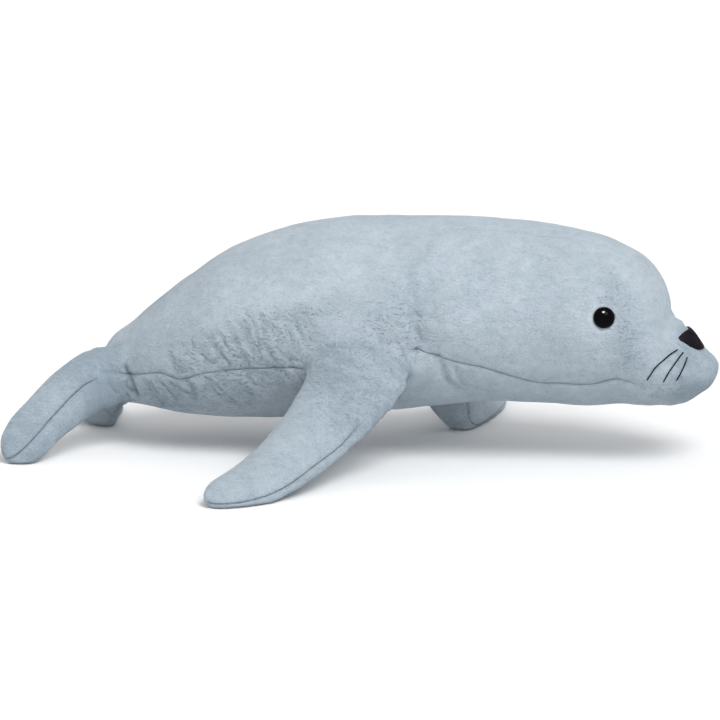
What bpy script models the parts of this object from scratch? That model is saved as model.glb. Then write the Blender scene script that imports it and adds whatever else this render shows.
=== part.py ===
"""Plush seal: a sewn and stuffed body on four stuffed flippers, with plastic eyes on shanks.

Units are metres. +X runs from the tail to the nose, +Y to the animal's left, +Z up, and the
flippers stand on z = 0. Places on the body are given as (share, angle): the share of the body's
length from the tail, and the angle around the body in degrees from the middle of the back.
"""
import math

import bmesh
import bpy
import numpy as np
from mathutils import Vector

# Main sizes
BODY_LENGTH = 0.478
BODY_WIDTH = 0.160
BACK_HEIGHT = 0.184         # the top of the back above the floor
FRONT_REACH = 0.193         # how far a front flipper spreads over the floor
FRONT_WIDTH = 0.080
FRONT_THICKNESS = 0.036
HIND_REACH = 0.117
HIND_WIDTH = 0.049
HIND_THICKNESS = 0.028

# Clearances
SEAM_GAP = 0.0003           # between two sewn pieces, and under a stitch or an eye
SHANK_GAP = 0.0003          # around the eye's shank, in the plush and in the washer

# Body outline from tail to muzzle. Each station has its share of the length, then its top, widest
# level and bottom as shares of the back's height, its share of the width, and how far its upper half
# is pinched into a ridge, from 0 to 1
BODY_STATIONS = (
    (0.0000, 0.3098, 0.3098, 0.3098, 0.0000, 0.00),
    (0.0052, 0.3890, 0.3098, 0.2337, 0.2125, 0.00),
    (0.0230, 0.4550, 0.3152, 0.1848, 0.3750, 0.00),
    (0.0460, 0.5010, 0.3315, 0.1685, 0.4875, 0.00),
    (0.0837, 0.5900, 0.3696, 0.1630, 0.6375, 0.00),
    (0.1318, 0.6910, 0.4130, 0.1413, 0.7750, 0.00),
    (0.1967, 0.8098, 0.4674, 0.1304, 0.9000, 0.00),
    (0.2782, 0.9076, 0.5217, 0.1359, 0.9750, 0.00),
    (0.3745, 0.9728, 0.5598, 0.1522, 1.0000, 0.00),
    (0.4874, 0.9946, 0.5924, 0.1848, 0.9750, 0.00),
    (0.6004, 1.0000, 0.6141, 0.2283, 0.8875, 0.00),
    (0.7134, 0.9837, 0.6087, 0.2337, 0.7875, 0.00),
    (0.8096, 0.9457, 0.5924, 0.2337, 0.7375, 0.00),
    (0.8724, 0.8696, 0.5543, 0.2391, 0.6875, 0.00),
    (0.8964, 0.8152, 0.5272, 0.2391, 0.6375, 0.03),
    (0.9111, 0.7500, 0.4946, 0.2446, 0.6000, 0.08),
    (0.9195, 0.6739, 0.4620, 0.2446, 0.5750, 0.16),
    (0.9310, 0.6033, 0.4348, 0.2446, 0.5500, 0.32),
    (0.9540, 0.5652, 0.4185, 0.2609, 0.5000, 0.45),
    (0.9749, 0.4946, 0.4022, 0.2989, 0.4250, 0.45),
    (0.9895, 0.4565, 0.3967, 0.3261, 0.3125, 0.35),
    (0.9969, 0.4293, 0.3967, 0.3587, 0.1875, 0.20),
    (1.0000, 0.3967, 0.3967, 0.3967, 0.0000, 0.20),
)
BODY_RINGS = 76
BODY_SIDES = 44
SIDE_CROWDING = 0.12        # how much closer the mesh's lines lie at the sides than on the back

# Seams and folds, the same on both sides: depth, width and a line of (share, angle) places
BELLY_SEAM = (0.0026, 0.0065, ((0.008, 84), (0.036, 87), (0.065, 95), (0.153, 107), (0.284, 107),
                               (0.423, 109), (0.544, 104), (0.600, 114), (0.665, 122), (0.724, 130),
                               (0.812, 130), (0.856, 123), (0.897, 126), (0.929, 119), (0.964, 102),
                               (0.996, 78)))
CROWN_SEAM = (0.0014, 0.0060, ((0.603, 21), (0.695, 19), (0.780, 20), (0.820, 29), (0.847, 36)))
MUZZLE_VALLEY = (0.0030, 0.0120, ((0.852, 37), (0.872, 52), (0.889, 76), (0.881, 95), (0.864, 112)))
NECK_VALLEY = (0.0030, 0.0110, ((0.561, 30), (0.531, 53), (0.542, 76), (0.546, 98)))
THROAT_FOLD = (0.0035, 0.0070, ((0.571, 108), (0.586, 124), (0.605, 138)))
THROAT_CREASE = (0.0022, 0.0060, ((0.596, 115), (0.609, 130), (0.636, 141)))
TAIL_FOLD = (0.0025, 0.0070, ((0.040, 84), (0.048, 103), (0.067, 122)))
BELLY_FOLD = (0.0030, 0.0080, ((0.096, 112), (0.109, 130), (0.123, 148)))
SEAMS_AND_FOLDS = (BELLY_SEAM, CROWN_SEAM, MUZZLE_VALLEY, NECK_VALLEY, THROAT_FOLD, THROAT_CREASE,
                   TAIL_FOLD, BELLY_FOLD)

# Gathers where the rear of the side panel is drawn up along the belly seam
GATHER_FIRST = 0.109
GATHER_LAST = 0.352
GATHER_COUNT = 11
GATHER_TOP = 72
GATHER_BOTTOM = 134
GATHER_LEAN = 0.0335        # how far the lower end lies nearer the head, as a share of the length
GATHER_DEPTH = 0.0016
GATHER_WIDTH = 0.0065
GATHER_WANDER = 8           # how far a gather's ends stray up and down, in degrees
GATHER_TURN = 2.4           # how much of that changes from one gather to the next, in radians

# Flipper sections from root to tip: shares of the width and of the thickness
FRONT_SECTIONS = ((1.00, 1.00), (1.00, 1.00), (0.825, 0.89), (0.688, 0.75), (0.575, 0.583), (0.362, 0.417))
HIND_SECTIONS = ((0.98, 1.00), (0.95, 1.00), (0.86, 0.93), (0.816, 0.82), (0.694, 0.643))
FLIPPER_RINGS = 12
FLIPPER_SIDES = 16
TIP_RINGS = 4
TIP_ROUNDING = 0.7          # length of the rounded tip, as a share of its width
FRONT_ROOT = (0.4477, 99)
HIND_ROOT = (0.0377, 88)
FRONT_ROOT_DEPTH = 0.026    # how deep the first section lies under the body's skin
HIND_ROOT_DEPTH = 0.020
FRONT_FLIPPER = (FRONT_ROOT, FRONT_ROOT_DEPTH, FRONT_REACH, FRONT_WIDTH, FRONT_THICKNESS, FRONT_SECTIONS)
HIND_FLIPPER = (HIND_ROOT, HIND_ROOT_DEPTH, HIND_REACH, HIND_WIDTH, HIND_THICKNESS, HIND_SECTIONS)

# Flipper poses. Each station has its place as seen from the root, across the floor in shares of the
# reach and up in shares of the root's height, and then the way its leading edge points
FRONT_RIGHT_POSE = (
    ((0.000, 0.000, 1.000), (0.96, -0.07, -0.25)),
    ((0.005, -0.124, 0.799), (0.93, -0.18, -0.32)),
    ((-0.088, -0.269, 0.478), (0.73, -0.45, -0.52)),
    ((-0.187, -0.487, 0.267), (0.80, -0.48, -0.37)),
    ((-0.301, -0.705, 0.126), (0.76, -0.50, -0.40)),
    ((-0.456, -0.891, 0.046), (0.74, -0.56, -0.36)),
)
FRONT_LEFT_POSE = (
    ((0.000, 0.000, 1.000), (0.96, 0.05, -0.25)),
    ((0.093, 0.124, 0.719), (0.84, -0.10, -0.50)),
    ((0.223, 0.202, 0.267), (0.47, -0.25, -0.85)),
    ((0.280, 0.415, 0.187), (0.60, -0.20, -0.78)),
    ((0.301, 0.632, 0.176), (0.66, -0.15, -0.74)),
    ((0.280, 0.829, 0.116), (0.74, -0.15, -0.64)),
)
HIND_RIGHT_POSE = (
    ((0.000, 0.000, 1.000), (0.20, 0.00, -0.98)),
    ((-0.231, -0.154, 0.915), (0.35, -0.12, -0.93)),
    ((-0.427, -0.342, 0.668), (0.55, -0.24, -0.80)),
    ((-0.598, -0.513, 0.349), (0.62, -0.28, -0.73)),
    ((-0.744, -0.667, 0.065), (0.64, -0.30, -0.70)),
)
HIND_LEFT_POSE = (
    ((0.000, 0.000, 1.000), (0.20, 0.00, -0.98)),
    ((-0.256, 0.120, 0.666), (0.45, 0.10, -0.88)),
    ((-0.393, 0.291, 0.248), (0.72, 0.10, -0.68)),
    ((-0.427, 0.564, 0.182), (0.85, 0.10, -0.52)),
    ((-0.410, 0.838, 0.115), (0.85, 0.10, -0.52)),
)

# Eyes: a domed head on a shank that passes through the plush into a lock washer
EYE_PLACE = (0.8358, 76)
EYE_DIAMETER = 0.0165
EYE_DOME_HEIGHT = 0.0062
EYE_SEAT_DEPTH = 0.0012
SHANK_DIAMETER = 0.005
SHANK_LENGTH = 0.013
SHANK_TAPER = 0.3           # how much narrower the shank's end is
WASHER_DIAMETER = 0.015
WASHER_THICKNESS = 0.0018
WASHER_DEPTH = 0.006
TURNED_SIDES = 20
DOME_STEPS = 5

# Nose: satin-stitched across the middle of the muzzle, with its two ends swept back
NOSE_SETBACK = 0.0158       # from the muzzle's tip to the nose's middle
NOSE_LENGTH = 0.020
NOSE_WIDTH = 0.030
NOSE_SWEEP = 0.009          # how far its ends lie behind its middle
NOSE_ROUNDNESS = 0.7        # 1 is an oval, less has blunter ends
NOSE_THICKNESS = 0.0011
NOSE_RIM = 0.0006
NOSE_RINGS = 3
NOSE_SIDES = 20

# Whiskers: three stitched threads on each cheek, as lines of (share, angle) places
WHISKER_THICKNESS = 0.0012
WHISKER_LINES = (
    ((0.9456, 58), (0.9351, 68), (0.9205, 89), (0.9100, 106), (0.9017, 117)),
    ((0.9540, 59), (0.9456, 75), (0.9372, 89), (0.9268, 107)),
    ((0.9603, 63), (0.9582, 76), (0.9540, 89), (0.9477, 101)),
)
WHISKER_REACH = 0.045       # the cheek's radius, which turns an angle into a distance on the skin
WHISKER_STEPS = 9
WHISKER_SIDES = 6


def curve_through(points, measured=None):
    """A smooth curve through the points, as a function of the distance along them, and its length.

    Where only the first few values of each point are a place, measured says how many.
    """
    points = np.array(points, dtype=float)
    steps = np.linalg.norm(np.diff(points[:, :measured], axis=0), axis=1)
    knots = np.concatenate(([0.0], np.cumsum(steps)))
    slopes = np.diff(points, axis=0) / steps[:, None]
    tangents = np.empty_like(points)
    tangents[0] = slopes[0]
    tangents[-1] = slopes[-1]
    weighted = slopes[:-1] * steps[1:, None] + slopes[1:] * steps[:-1, None]
    tangents[1:-1] = weighted / (steps[1:] + steps[:-1])[:, None]

    def at(distance):
        distance = min(max(distance, 0.0), knots[-1])
        index = min(int(np.searchsorted(knots, distance, side="right")) - 1, len(steps) - 1)
        step = steps[index]
        t = (distance - knots[index]) / step
        start = (2 * t ** 3 - 3 * t ** 2 + 1) * points[index]
        leave = (t ** 3 - 2 * t ** 2 + t) * step * tangents[index]
        end = (3 * t ** 2 - 2 * t ** 3) * points[index + 1]
        arrive = (t ** 3 - t ** 2) * step * tangents[index + 1]
        return start + leave + end + arrive

    return at, knots[-1]


def body_rows():
    """The body's stations in metres."""
    rows = []
    for share, top, level, bottom, width, pinch in BODY_STATIONS:
        heights = (top * BACK_HEIGHT, level * BACK_HEIGHT, bottom * BACK_HEIGHT)
        rows.append((share * BODY_LENGTH, *heights, width * BODY_WIDTH / 2, pinch))
    return rows


body_station, BODY_RUN = curve_through(body_rows(), measured=5)


def run_at(x):
    """The distance along the stations at which the body reaches x."""
    low, high = 0.0, BODY_RUN
    for _ in range(40):
        middle = (low + high) / 2
        if body_station(middle)[0] < x:
            low = middle
        else:
            high = middle
    return (low + high) / 2


def smooth_point(run, angle):
    """A point of the plain body, without seams and folds; the angle is in radians."""
    x, top, level, bottom, half_width, pinch = body_station(run)
    height = top - level if math.cos(angle) > 0 else level - bottom
    reach = half_width * math.sin(angle) * (1 - pinch * max(math.cos(angle), 0.0))
    return Vector((x, reach, level + height * math.cos(angle)))


def smooth_normal(run, angle):
    """The outward direction of the plain body."""
    step = 0.002
    run = min(max(run, step), BODY_RUN - step)
    along = smooth_point(run + step, angle) - smooth_point(run - step, angle)
    around = smooth_point(run, angle + step) - smooth_point(run, angle - step)
    return around.cross(along).normalized() * -1.0


def line_distance(x, arc, radius, line):
    """Distance on the body's skin from a place to a line of (share, angle) places."""
    nearest = BODY_LENGTH
    for (share0, angle0), (share1, angle1) in zip(line, line[1:]):
        start = Vector((share0 * BODY_LENGTH, math.radians(angle0) * radius))
        run = Vector((share1 * BODY_LENGTH, math.radians(angle1) * radius)) - start
        offset = Vector((x, arc)) - start
        along = min(max(offset.dot(run) / run.length_squared, 0.0), 1.0)
        nearest = min(nearest, (offset - run * along).length)
    return nearest


def gathers():
    """The gathers along the rear of the belly seam, as lines like the other folds."""
    spread = (GATHER_LAST - GATHER_FIRST) / (GATHER_COUNT - 1)
    lines = []
    for number in range(GATHER_COUNT):
        share = GATHER_FIRST + spread * number
        stray = GATHER_WANDER * math.sin(GATHER_TURN * number)
        line = ((share, GATHER_TOP + stray), (share + GATHER_LEAN, GATHER_BOTTOM + stray / 2))
        lines.append((GATHER_DEPTH, GATHER_WIDTH, line))
    return lines


ALL_FOLDS = (*SEAMS_AND_FOLDS, *gathers())


def fold_depth(run, angle):
    """How far seams and folds draw the skin in at a place."""
    x, top, level, bottom, half_width, pinch = body_station(run)
    radius = (half_width + (top - bottom) / 2) / 2
    turn = abs(math.atan2(math.sin(angle), math.cos(angle)))
    depth = 0.0
    for deepest, width, line in ALL_FOLDS:
        distance = line_distance(x, turn * radius, radius, line)
        depth += deepest * math.exp(-(2 * distance / width) ** 2)
    return depth


def body_point(run, angle, offset=0.0):
    """A point of the body's skin, or one that lies offset outside it."""
    normal = smooth_normal(run, angle)
    return smooth_point(run, angle) + normal * (offset - fold_depth(run, angle))


def clear_point(run, angle):
    """A point one seam gap outside the plain body, which the folds never reach."""
    return smooth_point(run, angle) + smooth_normal(run, angle) * SEAM_GAP


def place(share, degrees, side, offset=0.0):
    """Point and outward direction at a place on one side: +1 is the animal's left, -1 its right."""
    run = run_at(share * BODY_LENGTH)
    angle = math.radians(degrees) * side
    return body_point(run, angle, offset), smooth_normal(run, angle)


def material(name, colour, roughness):
    """A plain Principled material."""
    made = bpy.data.materials.new(name)
    made.use_nodes = True
    shader = made.node_tree.nodes["Principled BSDF"]
    shader.inputs["Base Color"].default_value = (*colour, 1.0)
    shader.inputs["Roughness"].default_value = roughness
    return made


def add_object(name, shape, surface, hidden=False):
    """Puts a finished shape into the scene as one named object."""
    bmesh.ops.recalc_face_normals(shape, faces=shape.faces)
    mesh = bpy.data.meshes.new(name)
    shape.to_mesh(mesh)
    shape.free()
    if surface:
        mesh.materials.append(surface)
    mesh.shade_smooth()
    made = bpy.data.objects.new(name, mesh)
    bpy.context.scene.collection.objects.link(made)
    if hidden:
        made.hide_render = True
        made.display_type = "WIRE"
    return made


def closed_rings(rings, first, last):
    """A closed shape from rings of points, with a single point at each end."""
    shape = bmesh.new()
    loops = [[shape.verts.new(point) for point in ring] for ring in rings]
    ends = (shape.verts.new(first), shape.verts.new(last))
    count = len(rings[0])
    for low, high in zip(loops, loops[1:]):
        for side in range(count):
            after = (side + 1) % count
            shape.faces.new((low[side], low[after], high[after], high[side]))
    for side in range(count):
        after = (side + 1) % count
        shape.faces.new((ends[0], loops[0][after], loops[0][side]))
        shape.faces.new((ends[1], loops[-1][side], loops[-1][after]))
    return shape


def turned(profile, base, axis):
    """A closed shape turned about an axis from (radius, height) pairs, both ends on the axis."""
    turn = Vector((0, 0, 1)).rotation_difference(axis).to_matrix()
    rings = []
    for radius, height in profile[1:-1]:
        ring = []
        for side in range(TURNED_SIDES):
            angle = 2 * math.pi * side / TURNED_SIDES
            ring.append(base + turn @ Vector((radius * math.cos(angle), radius * math.sin(angle), height)))
        rings.append(ring)
    return closed_rings(rings, base + axis * profile[0][1], base + axis * profile[-1][1])


def cut(target, cutter):
    """Takes the cutter's shape out of the target."""
    step = target.modifiers.new("cut", "BOOLEAN")
    step.operation = "DIFFERENCE"
    step.solver = "EXACT"
    step.object = cutter


def body_shape(point_at):
    """A closed shape over the whole body, from a function that gives its points."""
    turns = [2 * math.pi * (side + 0.5) / BODY_SIDES for side in range(BODY_SIDES)]
    angles = [turn + SIDE_CROWDING * math.sin(2 * turn) for turn in turns]
    runs = [BODY_RUN * ring / BODY_RINGS for ring in range(1, BODY_RINGS)]
    rings = [[point_at(run, angle) for angle in angles] for run in runs]
    return closed_rings(rings, smooth_point(0.0, 0.0), smooth_point(BODY_RUN, 0.0))


def flipper_shape(kind, side, pose):
    """A flipper's closed shape along its pose, pressed flat where it meets the floor."""
    root, depth, reach, width, thickness, sections = kind
    start, outward = place(*root, side)
    start = start - outward * depth
    rows = []
    for (wide, thick), ((x, y, z), edge) in zip(sections, pose):
        middle = (start.x + x * reach, start.y + y * reach, start.z * z)
        rows.append((*middle, *edge, wide * width, thick * thickness))
    station, length = curve_through(rows, measured=3)
    tip_share = rows[-1][6] * TIP_ROUNDING / length
    shares = [(1 - tip_share) * number / FLIPPER_RINGS for number in range(FLIPPER_RINGS + 1)]
    shares += [1 - tip_share * (1 - math.sin(math.pi / 2 * step / TIP_RINGS)) for step in range(1, TIP_RINGS)]
    rings = []
    for share in shares:
        row = station(length * share)
        ahead = station(length * min(share + 0.01, 1.0)) - station(length * max(share - 0.01, 0.0))
        edge = Vector(row[3:6]).normalized()
        face = Vector(ahead[:3]).cross(edge).normalized()
        rounding = max(share - 1 + tip_share, 0.0) / tip_share
        taper = math.sqrt(1 - rounding ** 2)
        ring = []
        for step in range(FLIPPER_SIDES):
            angle = 2 * math.pi * step / FLIPPER_SIDES
            across = edge * row[6] / 2 * taper * math.cos(angle)
            through = face * row[7] / 2 * taper * math.sin(angle)
            ring.append(Vector(row[:3]) + across + through)
        rings.append(ring)
    shape = closed_rings(rings, station(0.0)[:3], station(length)[:3])
    for vert in shape.verts:
        vert.co.z = max(vert.co.z, 0.0)
    return shape


def add_eye(side_name, side, body, plastic, washer_plastic):
    """An eye, its washer and the pocket that they sit in."""
    surface, axis = place(*EYE_PLACE, side)
    seat = surface - axis * EYE_SEAT_DEPTH
    radius = EYE_DIAMETER / 2
    shank = SHANK_DIAMETER / 2
    washer = WASHER_DIAMETER / 2
    rises = [math.pi / 2 * step / DOME_STEPS for step in range(DOME_STEPS + 1)]
    dome = [(radius * math.cos(rise), EYE_DOME_HEIGHT * math.sin(rise)) for rise in rises]
    profile = [(0.0, -SHANK_LENGTH), (shank * (1 - SHANK_TAPER), -SHANK_LENGTH),
               (shank, -SHANK_LENGTH + shank * SHANK_TAPER), (shank, 0.0), *dome]
    add_object(f"eye_{side_name}", turned(profile, seat + axis * SEAM_GAP, axis), plastic)

    inner = shank + SHANK_GAP
    low, high = -WASHER_DEPTH - WASHER_THICKNESS, -WASHER_DEPTH
    ring = bmesh.new()
    turn = Vector((0, 0, 1)).rotation_difference(axis).to_matrix()
    corners = ((inner, low), (washer, low), (washer, high), (inner, high))
    loops = []
    for step in range(TURNED_SIDES):
        angle = 2 * math.pi * step / TURNED_SIDES
        loops.append([ring.verts.new(seat + turn @ Vector((r * math.cos(angle), r * math.sin(angle), h)))
                      for r, h in corners])
    for step in range(TURNED_SIDES):
        here, after = loops[step], loops[(step + 1) % TURNED_SIDES]
        for corner in range(4):
            following = (corner + 1) % 4
            ring.faces.new((here[corner], here[following], after[following], after[corner]))
    add_object(f"eye_washer_{side_name}", ring, washer_plastic)

    room = ((0.0, -SHANK_LENGTH - SEAM_GAP), (inner, -SHANK_LENGTH - SEAM_GAP), (inner, low - SEAM_GAP),
            (washer + SEAM_GAP, low - SEAM_GAP), (washer + SEAM_GAP, high + SEAM_GAP),
            (inner, high + SEAM_GAP), (inner, 0.0), (radius + SEAM_GAP, 0.0),
            (radius + SEAM_GAP, EYE_DOME_HEIGHT), (0.0, EYE_DOME_HEIGHT))
    cut(body, add_object(f"eye_pocket_{side_name}", turned(room, seat, axis), None, hidden=True))


def add_nose(thread):
    """The stitched nose, laid on the muzzle."""
    run = run_at(BODY_LENGTH - NOSE_SETBACK)
    step = 0.001
    stretch = (smooth_point(run + step, 0.0) - smooth_point(run - step, 0.0)).length / (2 * step)
    half_width, pinch = body_station(run)[4:]
    ridge = half_width * (1 - pinch)
    shape = bmesh.new()

    def blunted(value):
        return math.copysign(abs(value) ** NOSE_ROUNDNESS, value)

    def nose_point(share, angle, offset):
        end_share = share * blunted(math.sin(angle))
        back = share * NOSE_LENGTH / 2 * blunted(math.cos(angle)) + NOSE_SWEEP * end_share ** 2
        along = run - back / stretch
        around = end_share * NOSE_WIDTH / 2 / ridge
        return body_point(along, around, offset)

    def sheet(lift):
        centre = shape.verts.new(nose_point(0.0, 0.0, lift(0.0)))
        loops = []
        for number in range(1, NOSE_RINGS + 1):
            share = number / NOSE_RINGS
            loops.append([shape.verts.new(nose_point(share, 2 * math.pi * side / NOSE_SIDES, lift(share)))
                          for side in range(NOSE_SIDES)])
        for side in range(NOSE_SIDES):
            after = (side + 1) % NOSE_SIDES
            shape.faces.new((centre, loops[0][side], loops[0][after]))
            for low, high in zip(loops, loops[1:]):
                shape.faces.new((low[side], high[side], high[after], low[after]))
        return loops[-1]

    under = sheet(lambda share: SEAM_GAP)
    over = sheet(lambda share: SEAM_GAP + NOSE_RIM + (NOSE_THICKNESS - NOSE_RIM) * (1 - share ** 2))
    for side in range(NOSE_SIDES):
        after = (side + 1) % NOSE_SIDES
        shape.faces.new((under[side], under[after], over[after], over[side]))
    add_object("nose", shape, thread)


def add_whisker(name, line, side, thread):
    """One stitched whisker, lying along the cheek."""
    places = [(share * BODY_LENGTH, math.radians(angle) * WHISKER_REACH) for share, angle in line]
    path, length = curve_through(places)
    radius = WHISKER_THICKNESS / 2
    centres = []
    for step in range(WHISKER_STEPS + 1):
        x, arc = path(length * step / WHISKER_STEPS)
        degrees = math.degrees(arc / WHISKER_REACH)
        centres.append(place(x / BODY_LENGTH, degrees, side, radius + SEAM_GAP))
    rings = []
    for index, (centre, normal) in enumerate(centres):
        before = centres[max(index - 1, 0)][0]
        after = centres[min(index + 1, WHISKER_STEPS)][0]
        ahead = (after - before).normalized()
        across = ahead.cross(normal).normalized()
        up = across.cross(ahead)
        rings.append([centre + (across * math.cos(turn) + up * math.sin(turn)) * radius
                      for turn in (2 * math.pi * number / WHISKER_SIDES for number in range(WHISKER_SIDES))])
    first = centres[0][0] + (centres[0][0] - centres[1][0]).normalized() * radius / 2
    last = centres[-1][0] + (centres[-1][0] - centres[-2][0]).normalized() * radius / 2
    add_object(name, closed_rings(rings, first, last), thread)


def centre_on_floor(objects):
    """Moves everything so that the origin is under the middle of the outer box."""
    bpy.context.view_layer.update()
    graph = bpy.context.evaluated_depsgraph_get()
    corners = []
    for item in objects:
        mesh = item.evaluated_get(graph).to_mesh()
        corners += [item.matrix_world @ vert.co for vert in mesh.vertices]
    low = [min(corner[axis] for corner in corners) for axis in range(3)]
    high = [max(corner[axis] for corner in corners) for axis in range(3)]
    shift = Vector((-(low[0] + high[0]) / 2, -(low[1] + high[1]) / 2, -low[2]))
    for item in bpy.data.objects:
        item.location += shift
    bpy.context.view_layer.update()
    return shift


def main():
    for item in list(bpy.data.objects):
        bpy.data.objects.remove(item)
    plush = material("plush", (0.47, 0.56, 0.64), 0.95)
    eye_plastic = material("eye_plastic", (0.008, 0.008, 0.010), 0.08)
    thread = material("thread", (0.010, 0.010, 0.018), 0.60)
    washer_plastic = material("washer_plastic", (0.75, 0.75, 0.72), 0.45)

    body = add_object("body", body_shape(body_point), plush)
    skin = add_object("body_skin", body_shape(clear_point), None, hidden=True)
    flippers = (
        ("front_flipper_right", FRONT_FLIPPER, -1, FRONT_RIGHT_POSE),
        ("front_flipper_left", FRONT_FLIPPER, 1, FRONT_LEFT_POSE),
        ("hind_flipper_right", HIND_FLIPPER, -1, HIND_RIGHT_POSE),
        ("hind_flipper_left", HIND_FLIPPER, 1, HIND_LEFT_POSE),
    )
    for name, kind, side, pose in flippers:
        cut(add_object(name, flipper_shape(kind, side, pose), plush), skin)
    for side_name, side in (("right", -1), ("left", 1)):
        add_eye(side_name, side, body, eye_plastic, washer_plastic)
        for number, line in enumerate(WHISKER_LINES, start=1):
            add_whisker(f"whisker_{side_name}_{number}", line, side, thread)
    add_nose(thread)
    return centre_on_floor([item for item in bpy.data.objects if not item.hide_render])


BUILD_SHIFT = main()
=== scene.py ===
import math

import bpy
import numpy as np
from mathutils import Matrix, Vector
from mathutils.bvhtree import BVHTree
from mathutils.kdtree import KDTree


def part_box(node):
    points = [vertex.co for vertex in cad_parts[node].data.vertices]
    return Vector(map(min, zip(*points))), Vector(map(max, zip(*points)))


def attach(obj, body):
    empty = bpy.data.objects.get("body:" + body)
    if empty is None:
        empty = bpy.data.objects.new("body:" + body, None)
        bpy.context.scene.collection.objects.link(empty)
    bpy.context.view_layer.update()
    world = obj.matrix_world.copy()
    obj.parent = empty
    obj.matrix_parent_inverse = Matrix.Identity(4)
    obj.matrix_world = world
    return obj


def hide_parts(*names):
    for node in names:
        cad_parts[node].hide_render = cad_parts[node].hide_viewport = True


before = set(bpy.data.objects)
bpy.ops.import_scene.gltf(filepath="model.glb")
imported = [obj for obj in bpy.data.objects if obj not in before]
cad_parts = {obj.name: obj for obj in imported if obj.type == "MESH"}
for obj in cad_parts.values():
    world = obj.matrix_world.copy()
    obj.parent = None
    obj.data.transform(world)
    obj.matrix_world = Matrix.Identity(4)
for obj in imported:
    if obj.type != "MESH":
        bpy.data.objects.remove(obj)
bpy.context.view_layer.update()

# The body's measured outline, as in the solids: share of the length, then top, widest level and bottom
# as shares of the back's height, share of the width, and how far the upper half is pinched
LENGTH, WIDTH, HEIGHT = 0.478, 0.160, 0.184
STATIONS = (
    (0.0000, 0.3098, 0.3098, 0.3098, 0.0000, 0.00),
    (0.0052, 0.3890, 0.3098, 0.2337, 0.2125, 0.00),
    (0.0230, 0.4550, 0.3152, 0.1848, 0.3750, 0.00),
    (0.0460, 0.5010, 0.3315, 0.1685, 0.4875, 0.00),
    (0.0837, 0.5900, 0.3696, 0.1630, 0.6375, 0.00),
    (0.1318, 0.6910, 0.4130, 0.1413, 0.7750, 0.00),
    (0.1967, 0.8098, 0.4674, 0.1304, 0.9000, 0.00),
    (0.2782, 0.9076, 0.5217, 0.1359, 0.9750, 0.00),
    (0.3745, 0.9728, 0.5598, 0.1522, 1.0000, 0.00),
    (0.4874, 0.9946, 0.5924, 0.1848, 0.9750, 0.00),
    (0.6004, 1.0000, 0.6141, 0.2283, 0.8875, 0.00),
    (0.7134, 0.9837, 0.6087, 0.2337, 0.7875, 0.00),
    (0.8096, 0.9457, 0.5924, 0.2337, 0.7375, 0.00),
    (0.8724, 0.8696, 0.5543, 0.2391, 0.6875, 0.00),
    (0.8964, 0.8152, 0.5272, 0.2391, 0.6375, 0.03),
    (0.9111, 0.7500, 0.4946, 0.2446, 0.6000, 0.08),
    (0.9195, 0.6739, 0.4620, 0.2446, 0.5750, 0.16),
    (0.9310, 0.6033, 0.4348, 0.2446, 0.5500, 0.32),
    (0.9540, 0.5652, 0.4185, 0.2609, 0.5000, 0.45),
    (0.9749, 0.4946, 0.4022, 0.2989, 0.4250, 0.45),
    (0.9895, 0.4565, 0.3967, 0.3261, 0.3125, 0.35),
    (0.9969, 0.4293, 0.3967, 0.3587, 0.1875, 0.20),
    (1.0000, 0.3967, 0.3967, 0.3967, 0.0000, 0.20),
)

# Flipper sections and poses, as in the solids
FRONT = ((0.4477, 99), 0.026, 0.193, 0.080, 0.036,
         ((1.00, 1.00), (1.00, 1.00), (0.825, 0.89), (0.688, 0.75), (0.575, 0.583), (0.362, 0.417)))
HIND = ((0.0377, 88), 0.020, 0.117, 0.049, 0.028,
        ((0.98, 1.00), (0.95, 1.00), (0.86, 0.93), (0.816, 0.82), (0.694, 0.643)))
POSES = {
    "front_flipper_right": (FRONT, -1, (
        ((0.000, 0.000, 1.000), (0.96, -0.07, -0.25)),
        ((0.005, -0.124, 0.799), (0.93, -0.18, -0.32)),
        ((-0.088, -0.269, 0.478), (0.73, -0.45, -0.52)),
        ((-0.187, -0.487, 0.267), (0.80, -0.48, -0.37)),
        ((-0.301, -0.705, 0.126), (0.76, -0.50, -0.40)),
        ((-0.456, -0.891, 0.046), (0.74, -0.56, -0.36)))),
    "front_flipper_left": (FRONT, 1, (
        ((0.000, 0.000, 1.000), (0.96, 0.05, -0.25)),
        ((0.093, 0.124, 0.719), (0.84, -0.10, -0.50)),
        ((0.223, 0.202, 0.267), (0.47, -0.25, -0.85)),
        ((0.280, 0.415, 0.187), (0.60, -0.20, -0.78)),
        ((0.301, 0.632, 0.176), (0.66, -0.15, -0.74)),
        ((0.280, 0.829, 0.116), (0.74, -0.15, -0.64)))),
    "hind_flipper_right": (HIND, -1, (
        ((0.000, 0.000, 1.000), (0.20, 0.00, -0.98)),
        ((-0.231, -0.154, 0.915), (0.35, -0.12, -0.93)),
        ((-0.427, -0.342, 0.668), (0.55, -0.24, -0.80)),
        ((-0.598, -0.513, 0.349), (0.62, -0.28, -0.73)),
        ((-0.744, -0.667, 0.065), (0.64, -0.30, -0.70)))),
    "hind_flipper_left": (HIND, 1, (
        ((0.000, 0.000, 1.000), (0.20, 0.00, -0.98)),
        ((-0.256, 0.120, 0.666), (0.45, 0.10, -0.88)),
        ((-0.393, 0.291, 0.248), (0.72, 0.10, -0.68)),
        ((-0.427, 0.564, 0.182), (0.85, 0.10, -0.52)),
        ((-0.410, 0.838, 0.115), (0.85, 0.10, -0.52)))),
}
TIP_ROUNDING = 0.7

# The nose, as in the solids: from the muzzle's tip to its middle, half its length, its reach to each
# side, how far its ends sweep back, and 1 for an oval or less for blunter ends
NOSE_SETBACK, NOSE_HALF, NOSE_REACH, NOSE_SWEEP, NOSE_ROUNDNESS = 0.0158, 0.0099, 0.0150, 0.0100, 0.6

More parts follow.
